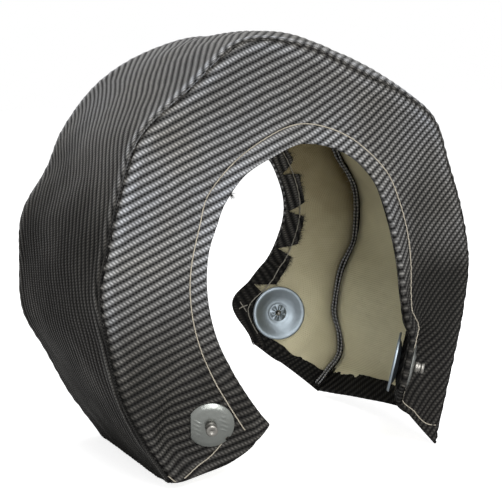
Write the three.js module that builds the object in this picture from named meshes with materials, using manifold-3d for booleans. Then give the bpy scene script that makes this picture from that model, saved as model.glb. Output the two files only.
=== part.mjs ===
// Turbo heat blanket: a soft C-shaped channel that wraps a turbine housing. Two C-shaped side panels are
// sewn along their outer edges to a band, and the channel is open towards the hub. Each wall is a twill
// cover, an insulation mat and a liner. The free edges of the covers are folded over the liner as hems.
// Millimetres, +X to the right, -Y towards the front panel, +Z up.
import * as THREE from "three";
import { mergeVertices } from "three/addons/utils/BufferGeometryUtils.js";
import Module from "manifold-3d";

const wasm = await Module();
wasm.setup();

// Ring sizes. An angle runs from straight down, clockwise as seen from the front.
const outerRadius = 107;
const boreRadius = 52;
const channelWidth = 117;
const hubHeight = 111;

// Where the seam line crosses each station of the ring, and how far it stands outside outerRadius there.
// The first and the last station are the feet, which are given below.
const seamAngles = [45, 58, 72, 86, 100, 115, 128, 147, 166, 184, 204, 218, 232, 246, 262, 276, 290, 301, 311];
const frontSeamRise = [14, 8, 2, 0, -4.3, -3.5, 0, -1.8, 6.5, 0, -6, -3, 1, -3.3, -2, 2, 5, 10, 18.3];
const backSeamRise = [10.5, 5, 6, 1.5, 0.2, -7, -4.8, -1.5, 0.5, 4, 0, -2, -2, -1, 5, 3.5, -2, 4, 24];

// How far the band crowns outwards between the two seams at each station, feet included.
const bandCrown = [0, 1.5, 2, 2, 2, 2, 2, 2, 1, 1, 6, 9, 9, 7, 5.5, 4, 3, 2, 2, 1, 0];
const crownPeak = 1 / 3;

// The four corners where the seams reach the ground: distance sideways, distance that the corner lies
// inside (-) or outside (+) the plane of its panel, and height that it curls up off the ground.
const feet = {
  frontLeft: { x: -72, splay: 0, lift: 4.5 },
  backLeft: { x: -66, splay: -8, lift: 0 },
  frontRight: { x: 87, splay: 0, lift: 0 },
  backRight: { x: 83, splay: 6, lift: 3 },
};
const liftedShare = 0.28;
const rightFootArch = 11.5;
const archSkew = 0.45;
const footBlend = 1.2;

// The free edge round the bore: angle and distance outside boreRadius at each station, feet included.
const frontEdgeAngles = [14, 28, 45, 63, 84, 100, 115, 128, 147, 166, 184, 204, 218, 232, 246, 262, 276, 290,
  301, 311, 325];
const frontEdgeRise = [32.4, 18.5, 9.5, 2.5, -2, -3, -3.8, -2.2, 0, 1.5, 6, 7.5, 7.5, 6.2, 3, 1.6, 2.3, 5.3,
  11.5, 19, 30];
const backEdgeAngles = [13, 27, 45, 63, 84, 100, 115, 128, 147, 166, 184, 204, 218, 232, 246, 262, 277, 293.6,
  310.7, 328.5, 330.4];
const backEdgeRise = [28, 15, 6, 1, -1, -2, -2, -1, 1, 3, 5, 6.5, 8, 8.5, 7, 6.5, 5.5, 4.6, 2.1, 3.5, 31.5];

// The free edges stand open at the feet: stations from and to, how far they stand open, and how late
// across the panel they bend.
const flares = [
  { side: "front", from: 10, to: 20, open: 24, curl: 3 },
  { side: "front", from: 4, to: 0, open: 8, curl: 2 },
  { side: "back", from: 14, to: 18, open: 14, curl: 2 },
];

// The front panel's left end bows out between the seam and the free edge.
const endBow = 8;
const endBowReach = 1.5;

// Walls, from the outer face inwards. Each layer keeps layerGap to the next.
const layerGap = 0.3;
const coverThickness = 0.8;
const matThickness = 1.8;
const linerThickness = 0.6;
const matOuter = coverThickness + layerGap;
const matInner = matOuter + matThickness;
const linerOuter = matInner + layerGap;
const linerInner = linerOuter + linerThickness;
const hemGap = 0.5;
const hemOuter = linerInner + hemGap;
const hemInner = hemOuter + coverThickness;
const hemDrop = matThickness + layerGap;

// Hems and seams. The seam allowance stands inside the channel, on the bisector of the corner.
const hemWidth = 12;
const clipDepth = 2.2;
const clipSpacing = 4;
const allowanceDepth = 8.3;
const seamStrip = 8;

// Grid of every wall. The end cells are the folded end and the end hem, in parts of a station.
const stationCount = seamAngles.length + 2;
const lastStation = stationCount - 1;
const ringCells = 24;
const endFold = 0.045;
const endHem = 0.38;
const panelFieldCells = 3;
const bandFieldCells = 4;
const probe = 0.02;
const endInset = 0.03;
const seamProbe = 0.1;
const foldWidth = coverThickness + 0.2;
const endFoldReach = endFold * 1.5;

// Fasteners: a formed outer washer, a turned stud and a dished locking washer on the inside.
const studRadius = 1.3;
const studClearance = 0.35;
const postRadius = 3;
const postLength = 5;
const postEdge = 0.4;
const dimpleRadius = 1.1;
const dimpleDepth = 0.55;
const outerWasherRadius = 12;
const outerWasherThickness = 0.8;
const outerWasherDome = 1.1;
const outerWasherBend = 7.2;
const outerWasherBendRise = 0.4;
const outerWasherFlat = 1.9;
const outerWasherNotch = 2.6;
const outerWasherTurn = -60;
const notchTurn = -138;
const innerWasherRadius = 16;
const innerWasherThickness = 0.7;
const innerWasherDish = 3;
const innerWasherRim = 1.8;
const innerWasherBend = 9.8;
const innerWasherBendRise = 1;
const hubRadius = 5.4;
const hubRise = 0.9;
const lanceCount = 6;
const lanceSlit = 0.5;
const studTip = 2.2;
const washerSegments = 20;
const studSegments = 12;
const drillLength = 40;
const clampRadius = 21;
const clampBlend = 31;

// Where each fastener sits on its panel, and how far it tips the panel over, in degrees.
const fasteners = [
  { name: "front_left", side: "front", station: 0.82, across: 0.58, tilt: -14 },
  { name: "front_right", side: "front", station: 19.25, across: 0.74, tilt: -16 },
  { name: "back_left", side: "back", station: 0.85, across: 0.55, tilt: 0 },
  { name: "back_right", side: "back", station: 18.7, across: 0.66, tilt: 0 },
];

function ringPoint(angle, radius, y) {
  const turn = THREE.MathUtils.degToRad(angle);
  return new THREE.Vector3(-radius * Math.sin(turn), y, hubHeight - radius * Math.cos(turn));
}

function smooth(from, to, value) {
  return THREE.MathUtils.smoothstep(value, from, to);
}

function throughPoints(points) {
  const curve = new THREE.CatmullRomCurve3(points, false, "centripetal");
  return (station) => curve.getPoint(THREE.MathUtils.clamp(station / lastStation, 0, 1));
}

// A seam line runs from one foot over the top to the other foot.
function seamLine(rise, side, leftFoot, rightFoot) {
  const plane = (side * channelWidth) / 2;
  const footPoint = (foot) => new THREE.Vector3(foot.x, plane + side * foot.splay, foot.lift);
  const arch = seamAngles.map((angle, n) => ringPoint(angle, outerRadius + rise[n], plane));
  return throughPoints([footPoint(leftFoot), ...arch, footPoint(rightFoot)]);
}

function edgeLine(angles, rise, side) {
  const plane = (side * channelWidth) / 2;
  return throughPoints(angles.map((angle, n) => ringPoint(angle, boreRadius + rise[n], plane)));
}

const seam = {
  front: seamLine(frontSeamRise, -1, feet.frontLeft, feet.frontRight),
  back: seamLine(backSeamRise, 1, feet.backLeft, feet.backRight),
};
const edge = {
  front: edgeLine(frontEdgeAngles, frontEdgeRise, -1),
  back: edgeLine(backEdgeAngles, backEdgeRise, 1),
};

// A panel before its fasteners clamp it: straight lines from the seam to the free edge, with the flares
// and the bowed end.
function loosePanel(side, station, across) {
  const point = seam[side](station).lerp(edge[side](station), across);
  const outwards = side === "front" ? -1 : 1;
  for (const flare of flares.filter((entry) => entry.side === side)) {
    const share = smooth(0, 1, (station - flare.from) / (flare.to - flare.from));
    point.y += outwards * flare.open * share * across ** flare.curl;
  }
  if (side === "front") {
    const bow = endBow * Math.sin(Math.PI * across) * (1 - smooth(0, endBowReach, station));
    point.addScaledVector(seam.front(0).sub(seam.front(endBowReach)).normalize(), bow);
  }
  return point;
}

// Height of the band's ends above the ground: the left foot lies flat apart from its lifted front corner,
// and the right foot arches between its two corners.
function footHeight(end, across) {
  if (end === 0) {
    return feet.frontLeft.lift * (1 - smooth(0, liftedShare, across));
  }
  return feet.backRight.lift * across + rightFootArch * Math.sin(Math.PI * across ** archSkew);
}

// Slides a point of a leg along that leg, until its height has changed by a given rise.
function slideOnLeg(point, end, rise) {
  const above = end === 0 ? seamProbe : lastStation - seamProbe;
  const leg = seam.front(above).sub(seam.front(end));
  return point.addScaledVector(leg, rise / leg.z);
}

// The band between its seams, crowned outwards from the hub, with its ends shaped to stand on the ground.
// The crown is highest at crownPeak of the way across, nearer to the front seam.
function bandPoint(station, across) {
  const point = seam.front(station).lerp(seam.back(station), across);
  const before = THREE.MathUtils.clamp(Math.floor(station), 0, lastStation - 1);
  const crown = THREE.MathUtils.lerp(bandCrown[before], bandCrown[before + 1], station - before);
  const hump = (across * (1 - across) ** 2) / (crownPeak * (1 - crownPeak) ** 2);
  const outwards = new THREE.Vector3(point.x, 0, point.z - hubHeight).normalize();
  point.addScaledVector(outwards, crown * hump);
  const end = station < lastStation / 2 ? 0 : lastStation;
  const straight = THREE.MathUtils.lerp(seam.front(end).z, seam.back(end).z, across);
  const share = 1 - smooth(0, footBlend, Math.abs(station - end));
  return slideOnLeg(point, end, (footHeight(end, across) - straight) * share);
}

function frameOf(surface, station, across) {
  const centre = surface(station, across);
  const along = surface(station + probe, across).sub(surface(station - probe, across)).normalize();
  const inwards = surface(station, across + probe).sub(surface(station, across - probe)).normalize();
  const normal = new THREE.Vector3().crossVectors(inwards, along).normalize();
  return { centre, along, inwards, normal };
}

// The inside of the channel lies on one side of each wall, so a normal is turned to point there.
function turnInside(normal, side) {
  const towards = side === "front" ? 1 : -1;
  return normal.y * towards < 0 ? normal.negate() : normal;
}

for (const fastener of fasteners) {
  const loose = (station, across) => loosePanel(fastener.side, station, across);
  fastener.seat = frameOf(loose, fastener.station, fastener.across);
  turnInside(fastener.seat.normal, fastener.side);
  fastener.seat.normal.applyAxisAngle(fastener.seat.along, THREE.MathUtils.degToRad(fastener.tilt));
}

// A clamped panel lies flat round each of its fasteners.
function panel(side, station, across) {
  const point = loosePanel(side, station, across);
  for (const { seat } of fasteners.filter((fastener) => fastener.side === side)) {
    const reach = point.distanceTo(seat.centre);
    const rise = point.clone().sub(seat.centre).dot(seat.normal);
    point.addScaledVector(seat.normal, -rise * (1 - smooth(clampRadius, clampBlend, reach)));
  }
  return point;
}

const walls = {
  front: (station, across) => panel("front", station, across),
  back: (station, across) => panel("back", station, across),
  band: bandPoint,
};

function wallNormal(wall, station, across) {
  const inset = THREE.MathUtils.clamp(station, endInset, lastStation - endInset);
  const { centre, normal } = frameOf(walls[wall], inset, across);
  if (wall !== "band") {
    return turnInside(normal, wall);
  }
  const hub = new THREE.Vector3(0, centre.y, hubHeight);
  return hub.sub(centre).dot(normal) < 0 ? normal.negate() : normal;
}

// The corner of panel and band at a seam: the seam point, the direction into this wall, the bisector that
// the allowances follow, and half of the corner's angle.
function cornerOf(wall, side, station) {
  const inset = THREE.MathUtils.clamp(station, endInset, lastStation - endInset);
  const origin = seam[side](station);
  const root = seam[side](inset);
  const intoPanel = walls[side](inset, seamProbe).sub(root).normalize();
  const besideSeam = side === "front" ? seamProbe : 1 - seamProbe;
  const intoBand = walls.band(inset, besideSeam).sub(root).normalize();
  const bisector = intoPanel.clone().add(intoBand).normalize();
  const into = wall === "band" ? intoBand : intoPanel;
  return { origin, into, bisector, half: Math.acos(into.dot(bisector)) };
}

// A point that lies a distance from the corner along the wall and a depth inside it, in the corner's mitre.
function mitrePoint(corner, distance, depth) {
  const sine = Math.sin(corner.half);
  return corner.origin.clone()
    .addScaledVector(corner.into, distance / sine)
    .addScaledVector(corner.bisector, depth / sine);
}

// Rows of a wall across its width. Each row is a mitre at a seam, or a distance from the wall's start.
function wallWidth(wall, station) {
  return walls[wall](station, 0).distanceTo(walls[wall](station, 1));
}

function fieldRows(first, last, cells) {
  return Array.from({ length: cells + 1 }, (_, n) => (width) => first + ((width - last - first) * n) / cells);
}

const coverMitre = [layerGap / 2, layerGap / 2 + coverThickness];
const layerMitre = layerGap / 2 + coverThickness + layerGap;
const panelField = fieldRows(seamStrip, hemWidth, panelFieldCells);
const bandField = fieldRows(seamStrip, seamStrip, bandFieldCells);

const near = (wall) => (wall === "band" ? "front" : wall);

function mitreRow(side, distance) {
  return { side, distance };
}

const coverRows = {
  panel: (wall) => [
    mitreRow(near(wall), coverMitre[0]), mitreRow(near(wall), coverMitre[1]), ...panelField,
    (width) => width - foldWidth, (width) => width,
  ],
  band: () => [
    mitreRow("front", coverMitre[0]), mitreRow("front", coverMitre[1]), ...bandField,
    mitreRow("back", coverMitre[1]), mitreRow("back", coverMitre[0]),
  ],
};

const matRows = {
  panel: (wall) => [mitreRow(near(wall), layerMitre), ...panelField],
  band: () => [mitreRow("front", layerMitre), ...bandField, mitreRow("back", layerMitre)],
};

const linerRows = {
  panel: (wall) => [...matRows.panel(wall), (width) => width - foldWidth - layerGap],
  band: matRows.band,
};

// Stations of the grid: folded end, end hem, even steps round the ring, and the same at the other end.
function ringStations(start) {
  const steps = Array.from({ length: ringCells + 1 }, (_, n) => 1 + ((lastStation - 2) * n) / ringCells);
  const end = start.map((value) => lastStation - value).reverse();
  return [...start, ...steps, ...end];
}

// The end faces of the band keep their height through the whole thickness of the wall.
function levelFoot(point, wall, station, across) {
  if (wall !== "band" || (station !== 0 && station !== lastStation)) {
    return point;
  }
  return slideOnLeg(point, station, footHeight(station, across) - point.z);
}

// The mat stops at the hems, so the layers that lie inside it come outwards towards a free edge or end.
function drawnDepth(wall, station, distance, width, depth) {
  if (depth < linerOuter) {
    return depth;
  }
  const fromEnd = Math.min(station, lastStation - station);
  const endDraw = 1 - smooth(endFoldReach, endHem, fromEnd);
  const edgeDraw = wall === "band" ? 0 : smooth(width - hemWidth, width - foldWidth - layerGap, distance);
  return depth - hemDrop * Math.max(endDraw, edgeDraw);
}

function wallPoint(wall, row, station, depth) {
  if (typeof row === "function") {
    const width = wallWidth(wall, station);
    const distance = row(width);
    const across = distance / width;
    const point = walls[wall](station, across);
    const drawn = drawnDepth(wall, station, distance, width, depth);
    point.addScaledVector(wallNormal(wall, station, across), drawn);
    return levelFoot(point, wall, station, across);
  }
  const point = mitrePoint(cornerOf(wall, row.side, station), row.distance, depth);
  return levelFoot(point, wall, station, row.side === "front" ? 0 : 1);
}

// Closed skin round the solid cells of a bent grid. corner(i, j, k) gives a grid point, and solid(i, j, k)
// says whether the cell that starts there is filled.
function gridBody(cells, corner, solid) {
  const positions = [];
  const indices = [];
  const numbers = new Map();
  const vertex = (place) => {
    const key = place.join();
    if (!numbers.has(key)) {
      numbers.set(key, numbers.size);
      positions.push(...corner(...place).toArray());
    }
    return numbers.get(key);
  };
  const filled = (cell) => cell.every((n, axis) => n >= 0 && n < cells[axis]) && solid(...cell);
  const face = (cell, axis, far) => {
    const [first, second] = [(axis + 1) % 3, (axis + 2) % 3];
    const at = (a, b) => {
      const place = [...cell];
      place[axis] += far;
      place[first] += a;
      place[second] += b;
      return vertex(place);
    };
    const [p, q, r, s] = [at(0, 0), at(1, 0), at(1, 1), at(0, 1)];
    indices.push(...(far ? [p, q, r, p, r, s] : [p, r, q, p, s, r]));
  };
  for (let i = 0; i < cells[0]; i += 1) {
    for (let j = 0; j < cells[1]; j += 1) {
      for (let k = 0; k < cells[2]; k += 1) {
        if (filled([i, j, k])) {
          for (let axis = 0; axis < 3; axis += 1) {
            for (const far of [0, 1]) {
              const next = [i, j, k];
              next[axis] += far ? 1 : -1;
              if (!filled(next)) {
                face([i, j, k], axis, far);
              }
            }
          }
        }
      }
    }
  }
  const geometry = new THREE.BufferGeometry();
  geometry.setAttribute("position", new THREE.Float32BufferAttribute(positions, 3));
  geometry.setIndex(indices);
  return facingOut(geometry);
}

function signedVolume(geometry) {
  const position = geometry.getAttribute("position");
  const corner = (n) => new THREE.Vector3().fromBufferAttribute(position, geometry.index.getX(n));
  let volume = 0;
  for (let n = 0; n < geometry.index.count; n += 3) {
    volume += corner(n).dot(corner(n + 1).cross(corner(n + 2))) / 6;
  }
  return volume;
}

function facingOut(geometry) {
  if (signedVolume(geometry) < 0) {
    const index = Array.from(geometry.index.array);
    for (let n = 0; n < index.length; n += 3) {
      [index[n + 1], index[n + 2]] = [index[n + 2], index[n + 1]];
    }
    geometry.setIndex(index);
  }
  return geometry;
}

function toSolid(geometry) {
  const bare = geometry.clone();
  bare.deleteAttribute("normal");
  bare.deleteAttribute("uv");
  const merged = mergeVertices(bare, 1e-4);
  const position = merged.getAttribute("position");
  return new wasm.Manifold(new wasm.Mesh({
    numProp: 3,
    vertProperties: new Float32Array(position.array),
    triVerts: new Uint32Array(merged.index.array),
  }));
}

function toGeometry(solid) {
  const mesh = solid.getMesh();
  const geometry = new THREE.BufferGeometry();
  geometry.setAttribute("position", new THREE.BufferAttribute(new Float32Array(mesh.vertProperties), 3));
  geometry.setIndex(Array.from(mesh.triVerts));
  return geometry;
}

// Turns a solid made along +Z to stand on a fastener's axis, with +Z pointing into the channel.
function placedOn(fastener, geometry) {
  const { centre, along, normal } = fastener.seat;
  const across = new THREE.Vector3().crossVectors(normal, along);
  const turn = new THREE.Matrix4().makeBasis(along, across, normal);
  return geometry.clone().applyMatrix4(turn.setPosition(centre));
}

function studHole(fastener) {
  const radius = studRadius + studClearance;
  const drill = new THREE.CylinderGeometry(radius, radius, drillLength, studSegments);
  return toSolid(placedOn(fastener, drill.rotateX(Math.PI / 2)));
}

function drilled(geometry, wall) {
  let solid = toSolid(geometry);
  for (const fastener of fasteners.filter(({ side }) => side === wall)) {
    solid = solid.subtract(studHole(fastener));
  }
  return toGeometry(solid);
}

// The cover: an outer face, a folded free edge with clipped tabs, folded ends, and the seam allowances.
function coverBody(wall) {
  const kind = wall === "band" ? "band" : "panel";
  const rows = coverRows[kind](wall);
  const stations = ringStations([0, endFold, endHem]);
  const depths = [0, coverThickness, hemOuter, hemInner];
  const lastRow = rows.length - 1;
  const lastCell = stations.length - 2;
  const hemRow = lastRow - 2;
  const isSeamRow = (j) => j < 2 || (kind === "band" && j > lastRow - 2);
  const corner = (i, j, k) => {
    const depth = isSeamRow(j) && k === 3 ? allowanceDepth : depths[k];
    const clipped = kind === "panel" && j === hemRow && k > 1 && i > 2 && i < lastCell - 1 &&
      i % clipSpacing === 0;
    const row = clipped ? (width) => width - clipDepth : rows[j];
    return wallPoint(wall, row, stations[i], depth);
  };
  const solid = (i, j, k) => {
    const isEnd = i === 0 || i === lastCell;
    const isEndHem = i < 2 || i > lastCell - 2;
    const isAllowance = j === 0 || (kind === "band" && j === lastRow - 1);
    const isField = j > 1 && (kind === "panel" || j < lastRow - 2);
    const isFold = kind === "panel" && j === lastRow - 1;
    const isTab = kind === "panel" && j >= hemRow;
    if (k === 0 || isAllowance || isFold) {
      return true;
    }
    if (k === 1) {
      return isEnd && isField;
    }
    return isTab || (isEndHem && isField);
  };
  return drilled(gridBody([lastCell + 1, lastRow, 3], corner, solid), wall);
}

// A mat or a liner: one even layer that stops short of the folds and the seam allowances.
function layerBody(wall, layer) {
  const rows = layer.rows[wall === "band" ? "band" : "panel"](wall);
  const stations = layer.stations;
  const corner = (i, j, k) => wallPoint(wall, rows[j], stations[i], k === 0 ? layer.outer : layer.inner);
  return drilled(gridBody([stations.length - 1, rows.length - 1, 1], corner, () => true), wall);
}

const matLayer = { rows: matRows, stations: ringStations([endHem]), outer: matOuter, inner: matInner };
const linerLayer = {
  rows: linerRows, stations: ringStations([endFoldReach, endHem]), outer: linerOuter, inner: linerInner,
};

function latheSolid(profile, segments) {
  const points = profile.map(([radius, height]) => new THREE.Vector2(radius, height));
  const turned = new THREE.LatheGeometry([...points, points[0]], segments).rotateX(Math.PI / 2);
  turned.deleteAttribute("normal");
  turned.deleteAttribute("uv");
  return toSolid(facingOut(mergeVertices(turned, 1e-4)));
}

// A box that stands off the axis by a distance, then turned about the axis by an angle in degrees.
function offsetBox(size, distance, height, turn) {
  const box = new THREE.BoxGeometry(...size).translate(distance, 0, height);
  return toSolid(box.rotateZ(THREE.MathUtils.degToRad(turn)));
}

// The outer washer is a shallow dome with one side cut straight and a notch beside its small tab.
function outerWasherBody(fastener) {
  const bore = studRadius + studClearance;
  const rim = -layerGap;
  const crown = rim - outerWasherDome;
  const bend = crown + outerWasherBendRise;
  const thick = outerWasherThickness;
  const seat = postRadius + 1;
  const profile = [
    [bore, crown], [seat, crown], [outerWasherBend, bend], [outerWasherRadius, rim],
    [outerWasherRadius, rim - thick / 2], [outerWasherBend, bend - thick], [seat, crown - thick],
    [bore, crown - thick],
  ];
  const tall = drillLength / 4;
  const flat = [outerWasherFlat * 2, outerWasherRadius * 2, tall];
  const straight = offsetBox(flat, outerWasherRadius, crown, outerWasherTurn);
  const square = [outerWasherNotch, outerWasherNotch, tall];
  const notch = offsetBox(square, outerWasherRadius, crown, outerWasherTurn + notchTurn);
  const solid = latheSolid(profile, washerSegments).subtract(straight).subtract(notch);
  return placedOn(fastener, toGeometry(solid));
}

// The stud: a post with a dimpled head outside, and a shank through the wall to the locking washer.
function studBody(fastener) {
  const foot = -layerGap - outerWasherDome - outerWasherThickness - layerGap;
  const head = foot - postLength;
  const washerTop = hemInner + layerGap + innerWasherThickness + hubRise;
  const tip = washerTop + studTip;
  const profile = [
    [0, head + dimpleDepth], [dimpleRadius, head + dimpleDepth / 2], [dimpleRadius + postEdge, head],
    [postRadius - postEdge, head], [postRadius, head + postEdge], [postRadius, foot], [studRadius, foot],
    [studRadius, tip - studRadius], [0, tip],
  ];
  return placedOn(fastener, toGeometry(latheSolid(profile, studSegments)));
}

// The locking washer: a bowl with a rolled rim and a raised hub, slit into lances that grip the stud.
function innerWasherBody(fastener) {
  const base = hemInner + layerGap;
  const thick = innerWasherThickness;
  const bore = studRadius + studClearance;
  const rim = innerWasherRadius;
  const lip = base + innerWasherDish;
  const bend = base + innerWasherBendRise;
  const shoulder = hubRadius - 1;
  const profile = [
    [bore, base + hubRise], [shoulder, base + hubRise / 2], [hubRadius, base], [innerWasherBend, bend],
    [rim - innerWasherRim, lip], [rim - innerWasherRim / 4, lip], [rim, lip - thick], [rim, lip + thick / 2],
    [rim - innerWasherRim / 4, lip + thick], [rim - innerWasherRim, lip + thick],
    [innerWasherBend, bend + thick], [hubRadius, base + thick], [shoulder, base + hubRise / 2 + thick],
    [bore, base + hubRise + thick],
  ];
  let solid = latheSolid(profile, washerSegments);
  const slitLength = shoulder - bore / 2;
  for (let n = 0; n < lanceCount; n += 1) {
    const slit = new THREE.BoxGeometry(slitLength, lanceSlit, innerWasherDish + thick * 2);
    slit.translate(shoulder - slitLength / 2, 0, base + hubRise);
    solid = solid.subtract(toSolid(slit.rotateZ((2 * Math.PI * n) / lanceCount)));
  }
  return placedOn(fastener, toGeometry(solid));
}

const finish = {
  twill: { color: 0x3a3a39, roughness: 0.55, metalness: 0.1 },
  mat: { color: 0xd8d2c0, roughness: 0.95, metalness: 0 },
  liner: { color: 0x9c9672, roughness: 0.9, metalness: 0 },
  steel: { color: 0xa9adb0, roughness: 0.3, metalness: 0.9 },
};

const blanket = new THREE.Group();

function add(name, geometry, look) {
  const mesh = new THREE.Mesh(geometry, new THREE.MeshStandardMaterial(finish[look]));
  mesh.name = name;
  blanket.add(mesh);
}

const wallNames = { front: "front_panel", back: "back_panel", band: "band" };
for (const [wall, name] of Object.entries(wallNames)) {
  add(`${name}_cover`, coverBody(wall), "twill");
  add(`${name}_mat`, layerBody(wall, matLayer), "mat");
  add(`${name}_liner`, layerBody(wall, linerLayer), "liner");
}
for (const fastener of fasteners) {
  add(`${fastener.name}_outer_washer`, outerWasherBody(fastener), "steel");
  add(`${fastener.name}_stud`, studBody(fastener), "steel");
  add(`${fastener.name}_locking_washer`, innerWasherBody(fastener), "steel");
}

// The origin is the middle of the ground that the blanket's box covers.
const box = new THREE.Box3().setFromObject(blanket);
blanket.position.set(-(box.min.x + box.max.x) / 2, -(box.min.y + box.max.y) / 2, -box.min.z);

export default blanket;
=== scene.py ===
"""Turbo heat blanket: the cloth, thread and metal of a C-shaped blanket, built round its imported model."""
import math

import bmesh
import bpy
import numpy as np
from mathutils import Matrix, Vector


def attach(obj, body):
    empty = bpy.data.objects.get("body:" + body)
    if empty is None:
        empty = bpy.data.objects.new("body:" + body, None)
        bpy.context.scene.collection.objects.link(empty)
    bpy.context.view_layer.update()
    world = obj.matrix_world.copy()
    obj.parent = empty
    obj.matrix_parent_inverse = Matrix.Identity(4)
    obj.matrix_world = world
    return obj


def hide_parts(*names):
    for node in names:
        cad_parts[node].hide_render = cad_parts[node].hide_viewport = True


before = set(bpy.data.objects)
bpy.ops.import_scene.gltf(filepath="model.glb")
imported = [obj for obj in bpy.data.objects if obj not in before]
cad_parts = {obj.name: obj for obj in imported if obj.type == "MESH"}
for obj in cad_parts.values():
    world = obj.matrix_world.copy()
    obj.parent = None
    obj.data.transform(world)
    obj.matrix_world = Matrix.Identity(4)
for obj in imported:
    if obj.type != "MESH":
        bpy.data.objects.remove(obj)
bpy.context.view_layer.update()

bl_info = {
    "name": "Turbo Heat Blanket",
    "version": (1, 0, 0),
    "blender": (4, 5, 0),
    "location": "3D View > Sidebar > Heat Blanket",
    "description": "Builds the twill covers, liners, stitching and lacing studs of a turbo heat blanket",
    "category": "Add Mesh",
}

BODY = "root"
MM = 0.001
WALLS = ("front", "back", "band")

# The model is drawn round its hub in millimetres, and this moves it over the middle of its ground.
CENTRING = np.array([-1.348, 5.873, 0.0])
HUB_HEIGHT = 111.0
OUTER_RADIUS = 107.0
BORE_RADIUS = 52.0
CHANNEL_WIDTH = 117.0
# Stations run from 0 at the left foot to LAST at the right one.
LAST = 20.0

# Seam lines: angle from straight down, clockwise from the front, and rise outside the outer radius.
SEAM_ANGLES = [45, 58, 72, 86, 100, 115, 128, 147, 166, 184, 204, 218, 232, 246, 262, 276, 290, 301, 311]
SEAM_RISE = {
    "front": [14, 8, 2, 0, -4.3, -3.5, 0, -1.8, 6.5, 0, -6, -3, 1, -3.3, -2, 2, 5, 10, 18.3],
    "back": [10.5, 5, 6, 1.5, 0.2, -7, -4.8, -1.5, 0.5, 4, 0, -2, -2, -1, 5, 3.5, -2, 4, 24],
}
# How far the band bulges at each station, and where across it the bulge is highest.
BAND_CROWN = [0, 1.5, 2, 2, 2, 2, 2, 2, 1, 1, 6, 9, 9, 7, 5.5, 4, 3, 2, 2, 1, 0]
CROWN_PEAK = 1 / 3
# Feet, left and right: place along x, splay away from the channel, and lift off the ground.
FEET = {
    "front": [(-72, 0, 4.5), (87, 0, 0)],
    "back": [(-66, -8, 0), (83, 6, 3)],
}
# Share of the left foot that is lifted, height and skew of the right foot's arch, and the feet's reach.
LIFTED_SHARE = 0.28
FOOT_ARCH = 11.5
ARCH_SKEW = 0.45
FOOT_BLEND = 1.2

# Free edges round the bore, feet included.
EDGE_ANGLES = {
    "front": [14, 28, 45, 63, 84, 100, 115, 128, 147, 166, 184, 204, 218, 232, 246, 262, 276, 290, 301, 311,
              325],
    "back": [13, 27, 45, 63, 84, 100, 115, 128, 147, 166, 184, 204, 218, 232, 246, 262, 277, 293.6, 310.7,
             328.5, 330.4],
}
EDGE_RISE = {
    "front": [32.4, 18.5, 9.5, 2.5, -2, -3, -3.8, -2.2, 0, 1.5, 6, 7.5, 7.5, 6.2, 3, 1.6, 2.3, 5.3, 11.5, 19,
              30],
    "back": [28, 15, 6, 1, -1, -2, -2, -1, 1, 3, 5, 6.5, 8, 8.5, 7, 6.5, 5.5, 4.6, 2.1, 3.5, 31.5],
}
# Flares of the free edges: stations from and to, how far they stand open, how late across they bend.
FLARES = {"front": [(10, 20, 24, 3), (4, 0, 8, 2)], "back": [(14, 18, 14, 2)]}
# How far the front panel's left end bows down, and how many stations up its leg the bow reaches.
END_BOW = 8
END_BOW_REACH = 1.5

# Fasteners: station, place across the panel, and tilt in degrees.
FASTENERS = {
    "front_left": ("front", 0.82, 0.58, -14),
    "front_right": ("front", 19.25, 0.74, -16),
    "back_left": ("back", 0.85, 0.55, 0),
    "back_right": ("back", 18.7, 0.66, 0),
}
# A panel lies flat within the first radius of a fastener, and is free beyond the second.
CLAMP_RADIUS = 21
CLAMP_BLEND = 31

# Thicknesses of the cover, the liner and the mat.
COVER = 0.8
LINER = 0.6
MAT = 1.3
# Depths of the mat's, the liner's and the hem's faces in a wall, and how far they come out over its hems.
MAT_OUTER = 1.4
LINER_INNER = 3.8
HEM_INNER = 5.1
HEM_DROP = 2.1
# Radius of a fold, and widths of a hem, of the strip outside its stitches and of a seam's allowance.
FOLD = 1.5
HEM_WIDTH = 12.0
STITCH_INSET = 10.0
ALLOWANCE = 8.3

# The twill's ridges: height, slant on a panel in degrees, and how fast they bend down past its middle.
RIDGE_HEIGHT = 0.3
RIDGE_SLANT = 23.0
RIDGE_BEND = 0.003
# Spacing of the tabs that the clips leave in a hem, and the width of a clip's mouth.
TAB_PITCH = 31
CLIP_MOUTH = 10.0
# A distance from an edge that stands for no edge at all.
FAR = 99.0
# Fasteners: play beside the cloth, radius of the hole for the stud, depth and thickness of the locking
# washer's base, and the number of its lances.
GAP = 0.3
STUD_HOLE = 1.65
LOCK_BASE = HEM_INNER + GAP
LOCK_SHEET = 0.7
LANCES = 6
# Light all round, the floor's own white for the camera, and the lamps' place, target, side and power.
WORLD_LIGHT = 0.33
FLOOR_GLOW = 0.78
LAMPS = {
    "key": ((-0.1, -0.95, 0.95), (0, 0, 0.12), 0.6, 11),
    "top": ((-0.1, 0.15, 1.3), (0, 0, 0.12), 0.8, 6),
    "fill": ((-0.25, -1.3, 0.2), (0.05, 0.05, 0.09), 0.5, 8),
}


def smooth(low, high, value):
    """Smoothstep: 0 below low, 1 above high, 3w^2 - 2w^3 between."""
    w = np.clip((np.asarray(value, float) - low) / (high - low), 0, 1)
    return w * w * (3 - 2 * w)


def unit(vectors):
    """Vectors divided by their lengths."""
    return vectors / np.maximum(np.linalg.norm(vectors, axis=-1, keepdims=True), 1e-9)


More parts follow.
